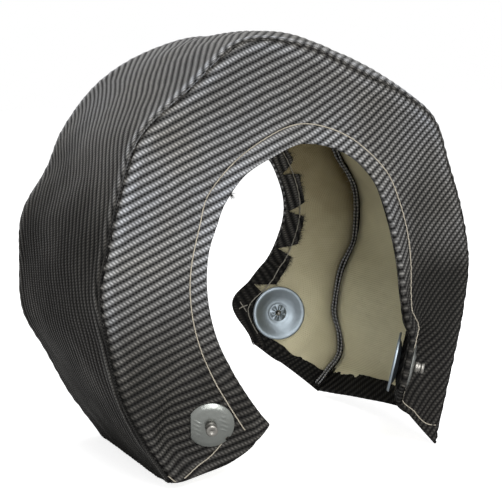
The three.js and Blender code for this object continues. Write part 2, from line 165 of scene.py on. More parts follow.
def spline(points, station):
    """Centripetal Catmull-Rom curve through points, one station apart: each span is a cubic whose end
    slopes come from the square roots of the distances to its neighbours."""
    p = np.asarray(points, float)
    station = np.clip(station, 0, len(p) - 1)
    span = np.minimum(np.floor(station).astype(int), len(p) - 2)
    w = (station - span)[..., None]
    ends = np.vstack([2 * p[0] - p[1], p, 2 * p[-1] - p[-2]])
    a, b, c, d = (ends[span + n] for n in range(4))
    knot = [np.maximum(np.sum((q - r) ** 2, axis=-1) ** 0.25, 1e-4)[..., None]
            for q, r in ((a, b), (b, c), (c, d))]
    start = ((b - a) / knot[0] - (c - a) / (knot[0] + knot[1]) + (c - b) / knot[1]) * knot[1]
    stop = ((c - b) / knot[1] - (d - b) / (knot[1] + knot[2]) + (d - c) / knot[2]) * knot[1]
    return b + start * w + (3 * (c - b) - 2 * start - stop) * w**2 + (2 * (b - c) + start + stop) * w**3


def ring_point(angle, radius, y):
    """A point at an angle and radius round the hub, in the plane y."""
    turn = np.radians(angle)
    return np.stack([-radius * np.sin(turn), y + 0 * turn, HUB_HEIGHT - radius * np.cos(turn)], axis=-1)


def outward_y(side):
    """Direction along y that leads away from the channel."""
    return -1 if side == "front" else 1


def seam_points(side):
    """A seam's stations: a foot, points round the hub at the outer radius plus a rise, and a foot."""
    plane = outward_y(side) * CHANNEL_WIDTH / 2
    arch = ring_point(np.array(SEAM_ANGLES, float), OUTER_RADIUS + np.array(SEAM_RISE[side], float), plane)
    feet = [[x, plane + outward_y(side) * splay, lift] for x, splay, lift in FEET[side]]
    return np.vstack([feet[0], arch, feet[1]])


def edge_points(side):
    """A free edge's stations: points round the hub at the bore's radius plus a rise."""
    angles = np.array(EDGE_ANGLES[side], float)
    radius = BORE_RADIUS + np.array(EDGE_RISE[side], float)
    return ring_point(angles, radius, outward_y(side) * CHANNEL_WIDTH / 2)


SEAMS = {side: seam_points(side) for side in ("front", "back")}
EDGES = {side: edge_points(side) for side in ("front", "back")}


def seam(side, station):
    """The seam as a curve through its stations."""
    return spline(SEAMS[side], station)


def loose_panel(side, station, across):
    """A straight line from the seam to the free edge, pushed out by the flares and by the bowed end."""
    station, across = np.broadcast_arrays(np.asarray(station, float), np.asarray(across, float))
    start, stop = seam(side, station), spline(EDGES[side], station)
    point = start + (stop - start) * across[..., None]
    for begin, end, depth, curl in FLARES[side]:
        share = smooth(0, 1, (station - begin) / (end - begin))
        point[..., 1] += outward_y(side) * depth * share * across**curl
    if side == "front":
        bow = END_BOW * np.sin(np.pi * np.clip(across, 0, 1)) * (1 - smooth(0, END_BOW_REACH, station))
        leg = unit(seam("front", 0.0) - seam("front", END_BOW_REACH))
        point += leg * bow[..., None]
    return point


def foot_height(at_left, across):
    """Height of the band's end: the left foot lies flat apart from its lifted front corner, and the right
    one rises evenly to its back corner with a sine arch over it."""
    left = FEET["front"][0][2] * (1 - smooth(0, LIFTED_SHARE, across))
    arch = FOOT_ARCH * np.sin(np.pi * np.clip(across, 0, 1) ** ARCH_SKEW)
    return np.where(at_left, left, FEET["back"][1][2] * across + arch)


def band(station, across):
    """Straight lines between the seams, crowned outwards by a hump a(1-a)^2, with shaped feet."""
    station, across = np.broadcast_arrays(np.asarray(station, float), np.asarray(across, float))
    start, stop = seam("front", station), seam("back", station)
    point = start + (stop - start) * across[..., None]
    crown = np.interp(station, np.arange(len(BAND_CROWN)), BAND_CROWN)
    hump = across * (1 - across) ** 2 / (CROWN_PEAK * (1 - CROWN_PEAK) ** 2)
    hub = point - [0, 0, HUB_HEIGHT]
    hub[..., 1] = 0
    point = point + unit(hub) * (crown * hump)[..., None]
    at_left = station < LAST / 2
    ends = np.where(at_left, 0.0, LAST)
    straight = seam("front", ends)[..., 2] * (1 - across) + seam("back", ends)[..., 2] * across
    rise = (foot_height(at_left, across) - straight) * (1 - smooth(0, FOOT_BLEND, np.abs(station - ends)))
    above = np.where(at_left, 0.1, LAST - 0.1)
    leg = seam("front", above) - seam("front", ends)
    return point + leg * (rise / leg[..., 2])[..., None]


def surface_frame(surface, station, across):
    """Point, unit directions along the ring and across, and unit normal, by central differences."""
    step = 0.02
    station, across = np.broadcast_arrays(np.asarray(station, float), np.asarray(across, float))
    along = unit(surface(station + step, across) - surface(station - step, across))
    inwards = unit(surface(station, across + step) - surface(station, across - step))
    return surface(station, across), along, inwards, unit(np.cross(inwards, along))


def turned(vector, axis, degrees):
    """The vector turned round an axis."""
    return np.array(Matrix.Rotation(math.radians(degrees), 3, Vector(axis)) @ Vector(vector))


def fastener_seats():
    """Centre, direction along the leg and inward normal of each fastener."""
    seats = {}
    for name, (side, station, across, tilt) in FASTENERS.items():
        centre, along, _, normal = surface_frame(lambda s, a: loose_panel(side, s, a), station, across)
        if normal[1] * outward_y(side) > 0:
            normal = -normal
        seats[name] = (side, centre, along, turned(normal, along, tilt))
    return seats


SEATS = fastener_seats()


def panel(side, station, across):
    """The loose panel, laid flat round each of its fasteners."""
    point = loose_panel(side, station, across)
    for seat_side, centre, _, normal in SEATS.values():
        if seat_side == side:
            reach = np.linalg.norm(point - centre, axis=-1)
            rise = (point - centre) @ normal
            point = point - normal * (rise * (1 - smooth(CLAMP_RADIUS, CLAMP_BLEND, reach)))[..., None]
    return point


def wall(name, station, across):
    """Outer face of a wall, from its seam (or the band's front seam) at 0 to its other side at 1."""
    return band(station, across) if name == "band" else panel(name, station, across)


def wall_frame(name, station, across):
    """The wall's point, along, inwards, and the normal that points into the channel."""
    inset = np.clip(station, 0.03, LAST - 0.03)
    _, along, inwards, normal = surface_frame(lambda s, a: wall(name, s, a), inset, across)
    point = wall(name, station, across)
    if name == "band":
        hub = -(point - [0, 0, HUB_HEIGHT])
        hub[..., 1] = 0
        flip = np.sum(hub * normal, axis=-1) < 0
    else:
        flip = normal[..., 1] * outward_y(name) > 0
    return point, along, inwards, np.where(flip[..., None], -normal, normal)


def wall_width(name, station):
    """Straight distance across a wall at a station."""
    return np.linalg.norm(wall(name, station, 1.0) - wall(name, station, 0.0), axis=-1)


def drawn(name, station_mm, from_edge, depth):
    """Layers inside the mat come outwards by the mat's thickness over the hems."""
    reach = smooth(FOLD, HEM_WIDTH, station_mm)
    if name != "band":
        reach = reach * smooth(FOLD, HEM_WIDTH, from_edge)
    return depth - HEM_DROP * (1 - reach)


def leg_length(name, station):
    """Distances of a station along the middle of the wall: from the nearer end, and from the left end."""
    fine = np.linspace(0, LAST, 801)
    line = wall(name, fine, 0.5)
    length = np.concatenate([[0], np.cumsum(np.linalg.norm(np.diff(line, axis=0), axis=1))])
    here = np.interp(station, fine, length)
    return np.minimum(here, length[-1] - here), here


def ripple(x, y, scale, seed, octaves=3):
    """Smooth noise from -1 to 1: sums of sine waves in seeded directions, halved at each octave."""
    rng = np.random.default_rng(seed)
    total = 0
    for octave in range(octaves):
        for _ in range(4):
            turn, phase = rng.uniform(0, 2 * np.pi, 2)
            wave = 2 * np.pi * 2**octave / scale * rng.uniform(0.7, 1.4)
            total = total + np.sin(wave * (x * np.cos(turn) + y * np.sin(turn)) + phase) / 2**octave
    return total / 5


def twill_lines(name, station, across_mm, point):
    """Distance across the twill's ridges and along them, in millimetres. On a panel the ridges rise to the
    right at an even slant, and bend down by the square of the distance past the middle. On the band their
    slant from the ring's direction follows the ring."""
    if name != "band":
        x, z = point[..., 0], point[..., 2] - HUB_HEIGHT
        slant = np.radians(RIDGE_SLANT)
        bend = RIDGE_BEND * np.clip(x + 5, 0, 200) ** 2
        return -np.sin(slant) * x + np.cos(slant) * z - bend, np.cos(slant) * x + np.sin(slant) * z
    line = np.linspace(0, LAST, 801)
    line_mm = leg_length("band", line)[1]
    angle = np.interp(line, np.arange(21), [38, *SEAM_ANGLES, 322])
    slant = np.radians(np.interp(angle, [45, 60, 95, 147, 180, 330], [-5, -1, 16, 51, 55, 50]))
    steps = np.concatenate([[0], np.diff(line_mm)])
    shift = np.interp(station, line, np.cumsum(np.sin(slant) * steps))
    travel = np.interp(station, line, np.cumsum(np.cos(slant) * steps))
    here_slant = np.interp(station, line, slant)
    return np.cos(here_slant) * across_mm - shift, travel + np.sin(here_slant) * across_mm


def to_metres(points):
    """Millimetres round the hub to metres over the middle of the ground, with nothing below the ground."""
    placed = (points + CENTRING) * MM
    placed[..., 2] = np.maximum(placed[..., 2], 0)
    return placed


def mesh_from(name, vertices, faces, uv=None, tone=None, smooth_shading=True):
    """Makes an object of a mesh from arrays, with an optional UV map and a tone attribute."""
    mesh = bpy.data.meshes.new(name)
    mesh.from_pydata(vertices.reshape(-1, 3), [], faces)
    if uv is not None:
        layer = mesh.uv_layers.new(name="weave")
        corners = np.zeros(len(mesh.loops), np.int32)
        mesh.loops.foreach_get("vertex_index", corners)
        layer.data.foreach_set("uv", uv.reshape(-1, 2)[corners].astype(np.float32).ravel())
    if tone is not None:
        attribute = mesh.attributes.new("tone", "FLOAT", "POINT")
        attribute.data.foreach_set("value", tone.astype(np.float32).ravel())
    mesh.validate()
    if smooth_shading:
        mesh.shade_smooth()
    obj = bpy.data.objects.new(name, mesh)
    bpy.context.scene.collection.objects.link(obj)
    return obj


def grid_faces(rows, columns, flip=False, wrap=False):
    """Quads of a grid of rows by columns. wrap closes the columns in a loop."""
    last = columns if wrap else columns - 1
    i, j = np.meshgrid(np.arange(rows - 1), np.arange(last), indexing="ij")
    k = (j + 1) % columns
    below, above = i * columns, (i + 1) * columns
    quads = np.stack([below + j, above + j, above + k, below + k], axis=-1)
    quads = quads.reshape(-1, 4)
    return (quads[:, ::-1] if flip else quads).tolist()


def faces_inwards(name):
    """True where a grid of stations by rows across winds its quads towards the channel."""
    _, along, inwards, normal = wall_frame(name, np.array([10.0]), np.array([0.5]))
    return float(np.sum(np.cross(along, inwards) * normal)) > 0


def thicken(obj, thickness, offset):
    """Gives a sheet its thickness with an applied Solidify."""
    solid = obj.modifiers.new("thickness", "SOLIDIFY")
    solid.thickness = thickness * MM
    solid.offset = offset
    bpy.context.view_layer.objects.active = obj
    bpy.ops.object.modifier_apply(modifier=solid.name)
    return obj


def painted_light_tone(point, name):
    """Painted light tone of the cover cloth: lighter upwards on the band; on a panel a painted sheen from mid
    height up, with painted shade low down, towards the right and a little at the very top; a faint random
    ripple on both.
    """
    x, z = point[..., 0], point[..., 2] - HUB_HEIGHT
    if name == "band":
        tone = 0.12 + 0.34 * smooth(5, 85, z)
    else:
        tone = 0.17 + 0.49 * smooth(-58, 18, z) - 0.16 * smooth(35, 90, z)
        tone = tone - 0.34 * smooth(10, 80, x) * (1 - 0.7 * smooth(20, 75, z))
    return np.clip(tone + 0.06 * ripple(x + point[..., 1], z, 60, 4), 0.11, 1)


def cover_face(name, rings, rows, ridge_pitch):
    """Outer skin of a wall's cover: wall point moved along its normal by the folds, the dips at seams and
    stitch lines, soft ripples and the twill's ridges."""
    station = np.linspace(0, LAST, rings)[:, None]
    width = wall_width(name, station[:, 0])[:, None]
    share = np.linspace(0, 1, rows)[None, :]
    here = leg_length(name, station)[1]
    fold = np.linspace(0, np.pi, 7)[1:]
    if name == "band":
        distance = 0.15 + (width - 0.3) * share
        depth = 0 * distance
        from_edge = np.full_like(distance, FAR)
    else:
        flat = 0.15 + (width - FOLD - 0.15) * share
        distance = np.hstack([flat, width - FOLD + FOLD * np.sin(fold)[None, :]])
        depth = np.hstack([0 * flat, np.broadcast_to(FOLD * (1 - np.cos(fold)), (rings, len(fold)))])
        from_edge = width - distance
    point, _, _, normal = wall_frame(name, station, distance / width)
    across, along_ridge = twill_lines(name, station, distance, point)
    seam_gap = distance if name != "band" else np.minimum(distance, width - distance)
    outwards = -1.5 * np.exp(-(seam_gap / 1.6) ** 2) + 0.5 * np.exp(-((seam_gap - 5) / 3.5) ** 2)
    if name != "band":
        outwards = outwards - 0.35 * np.exp(-((from_edge - STITCH_INSET) / 1.1) ** 2)
    outwards = outwards + 0.45 * ripple(along_ridge, across, 46, 11) * smooth(0, 9, seam_gap)
    pucker = np.sin(2 * np.pi * here / 7.5) * np.exp(-(seam_gap / 4) ** 2)
    outwards = outwards + 0.22 * pucker
    ridge = (0.5 + 0.5 * np.cos(2 * np.pi * across / ridge_pitch)) ** 0.8
    outwards = outwards + RIDGE_HEIGHT * (ridge - 0.5) * (depth < FOLD)
    seat_gap = np.min([np.linalg.norm(point - seat[1], axis=-1) for seat in SEATS.values()], axis=0)
    outwards = np.where(seat_gap < 16, np.minimum(outwards, 0.12) * smooth(9, 16, seat_gap), outwards)
    depth = depth - outwards * np.clip(1 - depth / (2 * FOLD), 0, 1)
    surface = point + normal * depth[..., None]
    uv = np.stack([across, along_ridge], axis=-1)
    faces = grid_faces(*distance.shape, flip=faces_inwards(name))
    label = "band_cover_cloth" if name == "band" else f"{name}_panel_cloth"
    # The cover takes the painted light tone, with painted shade in the seam's valley and a painted glint on
    # the swell beside it, stronger on the band.
    tone = painted_light_tone(surface, name) * (1 - 0.85 * np.exp(-(seam_gap / 1.7) ** 2))
    painted_glint = 0.9 if name == "band" else 0.3
    tone = tone * (1 + painted_glint * np.exp(-((seam_gap - 4.5) / 2.5) ** 2))
    if name != "band":
        tone = tone * (1 + 0.2 * smooth(STITCH_INSET, STITCH_INSET - 3, from_edge))
    return mesh_from(label, to_metres(surface), faces, uv, np.clip(tone, 0, 1))


def flat_size(name, obj):
    """Flat rectangle that holds a wall's cut, and the cut's area: the band's mean width by the length that
    holds its area, or the two spans of a panel's C."""
    area = float(sum(face.area for face in obj.data.polygons))
    if name == "band":
        width = float(np.mean(wall_width(name, np.linspace(0, LAST, 41)))) * MM
        return (width, 1.02 * area / width), area
    corners = np.array([vertex.co for vertex in obj.data.vertices])
    spans = np.ptp(corners, axis=0)
    return (float(spans[0]), float(spans[2])), area


def declare_cloth(name, obj):
    """Works out a cover's flat cut and its area; nothing more is done with them."""
    flat, area = flat_size(name, obj)


def dress(obj, material, slot, *replaced):
    """Gives a finished piece its material and body, and hides the nodes that it stands for. The slot is not
    used.
    """
    obj.data.materials.clear()
    obj.data.materials.append(material)
    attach(obj, BODY)
    if replaced:
        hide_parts(*replaced)
    return obj


def new_material(name):
    """A material with its nodes, links and shader."""
    material = bpy.data.materials.new(name)
    material.use_nodes = True
    nodes = material.node_tree.nodes
    return material, nodes, material.node_tree.links, nodes["Principled BSDF"]


class Nodes:
    """Short calls that add shader nodes and link them."""

    def __init__(self, name):
        self.material, self.nodes, self.links, self.shader = new_material(name)

    def put(self, socket, value):
        """Links a socket to another, or sets its value."""
        if isinstance(value, bpy.types.NodeSocket):
            self.links.new(value, socket)
        else:
            socket.default_value = value

    def math(self, operation, first, second=0.0, clamp=False):
        """One operation on two sockets or numbers."""
        node = self.nodes.new("ShaderNodeMath")
        node.operation = operation
        node.use_clamp = clamp
        self.put(node.inputs[0], first)
        self.put(node.inputs[1], second)
        return node.outputs[0]

    def noise(self, scale, detail=3.0):
        """Fractal noise, from 0 to 1, with a scale in cells per metre."""
        node = self.nodes.new("ShaderNodeTexNoise")
        node.inputs["Scale"].default_value = scale
        node.inputs["Detail"].default_value = detail
        node.inputs["Roughness"].default_value = 0.55
        self.links.new(self.place(), node.inputs["Vector"])
        return node.outputs["Fac"]

    def place(self):
        """Object coordinates, in metres."""
        return self.nodes.new("ShaderNodeTexCoord").outputs["Object"]

    def weave(self):
        """The weave map's two distances, in millimetres."""
        node = self.nodes.new("ShaderNodeUVMap")
        node.uv_map = "weave"
        parts = self.nodes.new("ShaderNodeSeparateXYZ")
        self.links.new(node.outputs[0], parts.inputs[0])
        return parts.outputs[0], parts.outputs[1]

    def tone(self):
        """The tone attribute, from 0 to 1."""
        node = self.nodes.new("ShaderNodeAttribute")
        node.attribute_name = "tone"
        return node.outputs["Fac"]

    def wave(self, value, pitch):
        """A cosine wave from 0 to 1 with a pitch in the value's own unit."""
        turn = self.math("MULTIPLY", value, 2 * math.pi / pitch)
        return self.math("ADD", self.math("MULTIPLY", self.math("COSINE", turn), 0.5), 0.5)

    def colour(self, factor, low, high):
        """Mixes two colours by a factor."""
        node = self.nodes.new("ShaderNodeMix")
        node.data_type = "RGBA"
        self.put(node.inputs["Factor"], factor)
        self.put(node.inputs["A"], (*low, 1) if isinstance(low, tuple) else low)
        self.put(node.inputs["B"], (*high, 1) if isinstance(high, tuple) else high)
        return node.outputs["Result"]

    def bump(self, height, distance, strength):
        """Tilts the normal by a height, whose 1 stands for a distance in metres."""
        node = self.nodes.new("ShaderNodeBump")
        node.inputs["Strength"].default_value = strength
        node.inputs["Distance"].default_value = distance
        self.links.new(height, node.inputs["Height"])
        return node.outputs["Normal"]

    def finish(self, colour, roughness, normal, metallic=0.0, specular=0.5):
        """Sets the shader's sockets and returns the material."""
        self.put(self.shader.inputs["Base Color"], (*colour, 1) if isinstance(colour, tuple) else colour)
        self.put(self.shader.inputs["Roughness"], roughness)
        self.put(self.shader.inputs["Specular IOR Level"], specular)
        self.shader.inputs["Metallic"].default_value = metallic
        self.links.new(normal, self.shader.inputs["Normal"])
        return self.material


def twill_material():
    """Dark fibre twill: ridges of slanted nubs with painted highlights on their crests, which turn to a
    painted sheen where the tone is high, and the dark cloth with painted shade, nearly black, between them.
    """
    finish, size = bpy.context.scene.blanket_finish, bpy.context.scene.blanket
    n = Nodes("twill cloth")
    across, along = n.weave()
    drift = n.math("MULTIPLY", n.math("SUBTRACT", n.noise(40, 2), 0.5), 1.6)
    across = n.math("ADD", across, drift)
    ridge = n.math("POWER", n.wave(across, size.ridge_pitch), 0.8)
    slanted = n.math("ADD", along, n.math("MULTIPLY", across, 0.42))
    nub = n.wave(slanted, size.nub_pitch)
    between = n.wave(n.math("ADD", slanted, size.nub_pitch / 2), size.nub_pitch)
    weft = n.math("MULTIPLY", between, n.math("SUBTRACT", 1.0, ridge))
    nubbed = n.math("MULTIPLY", ridge, n.math("ADD", n.math("MULTIPLY", nub, 0.5), 0.5))
    height = n.math("ADD", nubbed, n.math("MULTIPLY", weft, 0.35))
    tone = n.tone()
    # Crest lightness: a painted highlight on the crests and painted shade between them, scaled by the painted
    # light tone and broken by a fibre noise.
    level = n.math("MULTIPLY", n.math("POWER", height, 2.0), n.math("POWER", tone, 1.15))
    fibre = n.math("MULTIPLY", level, n.math("ADD", n.math("MULTIPLY", n.noise(900, 2), 0.9), 0.55))
    # The painted light tone shifts the crests' hue from their colour in painted shade to their colour in
    # painted sheen.
    painted_sheen = n.math("MULTIPLY", tone, 1.3, clamp=True)
    hue = n.colour(painted_sheen, tuple(finish.twill_in_painted_shade), tuple(finish.twill_in_painted_sheen))
    dusted = n.colour(n.noise(22, 4), hue, tuple(finish.twill_dust))
    colour = n.colour(fibre, tuple(finish.twill_gap), dusted)
    rough = n.math("SUBTRACT", 0.60, n.math("MULTIPLY", height, 0.24))
    gloss = n.math("MULTIPLY", n.math("MULTIPLY", height, tone), 0.55)
    return n.finish(colour, rough, n.bump(height, 0.0006, 0.9), specular=gloss)


def liner_material():
    """Cream high-temperature cloth: a fine plain weave, soiled in soft clouds, with painted shade from its
    tone: darker towards the top, along the seams and in the hollows between its creases.
    """
    finish = bpy.context.scene.blanket_finish
    n = Nodes("liner cloth")
    across, along = n.weave()
    threads = n.math("MULTIPLY", n.wave(across, 1.1), n.wave(along, 1.1))
    cloud = n.noise(14, 4)
    speck = n.noise(160, 3)
    # The tone attribute paints light and shade, mixing the liner's painted shade colour with its cream.
    base = n.colour(n.tone(), tuple(finish.liner_painted_shade), tuple(finish.liner_cream))
    soiled = n.colour(n.math("MULTIPLY", cloud, 0.35), base, tuple(finish.liner_soil))
    colour = n.colour(n.math("MULTIPLY", speck, 0.15), soiled, tuple(finish.liner_speck))
    height = n.math("ADD", threads, n.math("MULTIPLY", n.noise(70, 3), 0.8))
    return n.finish(colour, 0.92, n.bump(height, 0.00025, 0.6), specular=0.2)


def thread_material(name, colour):
    """Sewing thread: twisted plies as a fine slanted wave."""
    n = Nodes(name)
    across, along = n.weave()
    twist = n.wave(n.math("ADD", along, n.math("MULTIPLY", across, 1.5)), 0.7)
    tint = n.colour(n.noise(120, 3), colour, tuple(0.55 * value for value in colour))
    return n.finish(tint, 0.75, n.bump(twist, 0.0001, 0.8))


def metal_material(name, colour, roughness, scale, depth):
    """Sheet or turned steel: faint hammering and soft smudges over a metal base."""
    n = Nodes(name)
    smudge = n.noise(scale, 4)
    tint = n.colour(smudge, colour, tuple(0.72 * value for value in colour))
    rough = n.math("ADD", roughness, n.math("MULTIPLY", smudge, 0.16))
    return n.finish(tint, rough, n.bump(n.noise(scale * 3, 3), depth, 0.5), metallic=1.0)


def felt_material():
    """Pale silica felt: matted fibres."""
    finish = bpy.context.scene.blanket_finish
    n = Nodes("silica felt")
    tint = n.colour(n.noise(60, 4), tuple(finish.felt_dull), tuple(finish.felt_pale))
    return n.finish(tint, 0.95, n.bump(n.noise(500, 4), 0.0004, 0.8))


MATERIALS = {}


def material(key):
    """Each finish is made once, when a piece first asks for it."""
    if key not in MATERIALS:
        finish = bpy.context.scene.blanket_finish
        makers = {
            "twill": twill_material,
            "liner": liner_material,
            "felt": felt_material,
            "thread": lambda: thread_material("sewing thread", tuple(finish.thread)),
            "fray": lambda: thread_material("frayed fibres", tuple(finish.fray)),
            "dark_fray": lambda: thread_material("dark fibres", tuple(finish.dark_fray)),
            "plate": lambda: metal_material("polished plate", tuple(finish.plate), 0.22, 90, 0.0004),
            "stud": lambda: metal_material("turned steel", tuple(finish.stud), 0.3, 260, 0.0001),
            "lock": lambda: metal_material("spring steel", tuple(finish.lock), 0.4, 140, 0.0002),
        }
        MATERIALS[key] = makers[key]()
    return MATERIALS[key]


def hem_length(side, station):
    """Width of the folded hem: tabs as wide as the hem with V clips cut between them."""
    here = leg_length(side, station)[1]
    from_clip = np.abs((here + 7) % TAB_PITCH - TAB_PITCH / 2)
    clip = np.clip(1 - from_clip / (CLIP_MOUTH / 2), 0, 1)
    ends = np.minimum(station, LAST - station)
    ragged = 1.2 * ripple(here, 0 * here, 90, 8) + 0.5 * ripple(here, 0 * here, 9, 21)
    return (HEM_WIDTH + ragged) * (1 - 0.8 * clip * (ends > 1.2))


def panel_hem(side, rings):
    """The hem: the cover's cloth carried back over the liner from the fold, as wide as hem_length says."""
    station = np.linspace(0.12, LAST - 0.12, rings)[:, None]
    width = wall_width(side, station[:, 0])[:, None]
    share = np.linspace(0, 1, 11)[None, :]
    length = hem_length(side, station)
    from_edge = FOLD * 0.6 + (length - FOLD * 0.6) * share
    near_end, here = leg_length(side, station)
    inner = drawn(side, near_end, from_edge, HEM_INNER)
    point, _, _, normal = wall_frame(side, station, (width - from_edge) / width)
    lift = 0.5 * share**2 * (0.5 + 0.5 * ripple(here, 0 * station, 24, 31))
    surface = point + normal * (inner + lift)[..., None]
    across, along_ridge = twill_lines(side, station, from_edge, point)
    uv = np.stack([along_ridge, across], axis=-1)
    faces = grid_faces(*from_edge.shape, flip=not faces_inwards(side))
    # The hem takes the painted light tone, dimmed to 0.6.
    tone = 0.6 * painted_light_tone(surface, side)
    return thicken(mesh_from(f"{side}_panel_hem", to_metres(surface), faces, uv, tone), COVER, -1)


def end_hem(name, at_left):
    """The folded end of a wall: a half round from the outer face, then the cloth back over the liner."""
    rows = 90 if name == "band" else 50
    margin = 1.2 if name == "band" else FOLD
    fine = np.linspace(0, 1.2, 241)
    station_of = fine if at_left else LAST - fine
    width = float(wall_width(name, np.array([0.0 if at_left else LAST]))[0])
    distance = np.linspace(0.4, width - margin, rows)[None, :]
    mid = wall(name, station_of, 0.5)
    length = np.concatenate([[0], np.cumsum(np.linalg.norm(np.diff(mid, axis=0), axis=1))])
    turn = np.linspace(0, np.pi, 9)
    back = np.linspace(FOLD, HEM_WIDTH, 9)[1:]
    along_mm = np.concatenate([FOLD * (1 - np.sin(turn)), back])[:, None]
    depth = np.concatenate([FOLD * (1 - np.cos(turn)), back * 0])[:, None]
    across = distance / width
    folded = np.arange(len(along_mm))[:, None] >= len(turn)
    inner = drawn(name, along_mm, width - distance, HEM_INNER)
    ragged = 1 + 0.05 * ripple(distance, 0 * distance, 12, 17 + at_left) * folded
    depth = np.where(folded, inner, np.broadcast_to(depth, inner.shape))
    station = np.interp(along_mm * ragged, length, station_of)
    point, _, _, normal = wall_frame(name, station, np.broadcast_to(across, station.shape))
    surface = point + normal * depth[..., None]
    a, b = twill_lines(name, station, np.broadcast_to(distance, station.shape), point)
    faces = grid_faces(*station.shape, flip=not (faces_inwards(name) == at_left))
    end = "left" if at_left else "right"
    # The end hem takes the painted light tone, dimmed to 0.7.
    tone = 0.7 * painted_light_tone(surface, name)
    label = f"{name}_{end}_end_hem" if name == "band" else f"{name}_panel_{end}_end_hem"
    return mesh_from(label, to_metres(surface), faces, np.stack([a, b], axis=-1), tone)


def liner_sheet(name, rings, rows):
    """Inner skin of a wall: even cloth with soft creases that fade at the hems and the seams."""
    station = np.linspace(0.2, LAST - 0.2, rings)[:, None]
    width = wall_width(name, station[:, 0])[:, None]
    margin = 2.2
    inset = LINER_INNER + 0.4
    last = inset if name == "band" else margin
    distance = inset + (width - inset - last) * np.linspace(0, 1, rows)[None, :]
    from_edge = np.full_like(distance, FAR) if name == "band" else width - distance
    near_end, here = leg_length(name, station)
    depth = drawn(name, near_end, from_edge, LINER_INNER)
    gap = np.minimum(distance - inset, near_end)
    gap = np.minimum(gap, (width - distance) if name == "band" else from_edge - HEM_WIDTH)
    crease = 1.1 + 0.9 * ripple(here, distance * 0.45, 42, 5) + 0.3 * ripple(here, distance, 13, 6)
    depth = depth + crease * smooth(0, 14, gap)
    point, _, _, normal = wall_frame(name, station, distance / width)
    surface = point + normal * depth[..., None]
    uv = np.stack([distance, here + 0 * distance], axis=-1)
    # Painted light tone: painted shade towards the top and along the seams, lighter low down and where the
    # creases stand out into the channel; the band's liner is painted lighter overall.
    z = surface[..., 2] - HUB_HEIGHT
    tone = 0.40 - 0.38 * smooth(-25, 40, z) + 0.16 * smooth(-20, -70, z)
    tone = tone - 0.3 * np.exp(-((distance - inset) / 7) ** 2) + 0.12 * crease
    if name == "band":
        tone = tone + 0.6 - 0.12 * smooth(-20, 40, z) - 0.3 * np.exp(-((width - distance - inset) / 7) ** 2)
    faces = grid_faces(*distance.shape, flip=not faces_inwards(name))
    label = "band_liner_cloth" if name == "band" else f"{name}_liner_cloth"
    return thicken(mesh_from(label, to_metres(surface), faces, uv, np.clip(tone, 0, 1)), LINER, -1)


def mat_sheet(name, rings, rows):
    """The felt mat between cover and liner: an even sheet from the seam's strip to the hem."""
    station = np.linspace(0.35, LAST - 0.35, rings)[:, None]
    width = wall_width(name, station[:, 0])[:, None]
    last = ALLOWANCE if name == "band" else HEM_WIDTH
    distance = ALLOWANCE + (width - ALLOWANCE - last) * np.linspace(0, 1, rows)[None, :]
    point, _, _, normal = wall_frame(name, station, distance / width)
    surface = point + normal * MAT_OUTER
    faces = grid_faces(*distance.shape, flip=not faces_inwards(name))
    here = leg_length(name, station)[1]
    uv = np.stack([distance, here + 0 * distance], axis=-1)
    label = "band_felt" if name == "band" else f"{name}_panel_felt"
    return thicken(mesh_from(label, to_metres(surface), faces, uv), MAT, 1)


def corner_frame(side, station):
    """At a seam: its point, the bisector into the channel, the direction from band to panel, and the sine of
    half the corner."""
    station = np.clip(station, 0.03, LAST - 0.03)
    root = seam(side, station)
    into_panel = unit(panel(side, station, 0.1) - root)
    into_band = unit(band(station, 0.1 if side == "front" else 0.9) - root)
    bisector = unit(into_panel + into_band)
    sine = np.linalg.norm(np.cross(into_panel, bisector), axis=-1)
    return root, bisector, unit(into_panel - into_band), sine


def allowance(side, ply, rings):
    """One raw seam allowance: cloth that stands up inside the channel on the corner's bisector, leaning to
    and fro, with a ragged edge."""
    station = np.linspace(0.05, LAST - 0.05, rings)
    root, bisector, beside, sine = corner_frame(side, station)
    here = leg_length(side, station)[1]
    straight = 0 * here
    towards = 1 if ply == "panel" else -1
    ragged = 0.7 * ripple(here, straight, 16, 41 + towards) + 0.25 * ripple(here, straight, 4, 43)
    height = ALLOWANCE + ragged
    rise = np.linspace(0, 1, 9)[None, :]
    foot = 1.2
    depth = foot + (height[:, None] - foot) * rise
    lean = 1.6 * ripple(here, straight, 60, 47)[:, None] * rise**2
    opening = 0.5 + 0.5 * ripple(here, straight, 30, 51 + towards)[:, None]
    gape = (0.55 + 0.8 * rise**2 * opening) * towards
    surface = root[:, None] + bisector[:, None] * (depth / sine[:, None])[..., None]
    surface = surface + beside[:, None] * (lean + gape)[..., None]
    uv = np.stack([depth, here[:, None] + 0 * depth], axis=-1)
    tone = np.clip(0.18 + 0.5 * smooth(0.75, 1, rise) + 0 * depth, 0, 1)
    obj = mesh_from(f"{side}_seam_{ply}_allowance", to_metres(surface), grid_faces(*depth.shape), uv, tone)
    return thicken(obj, COVER, 0)


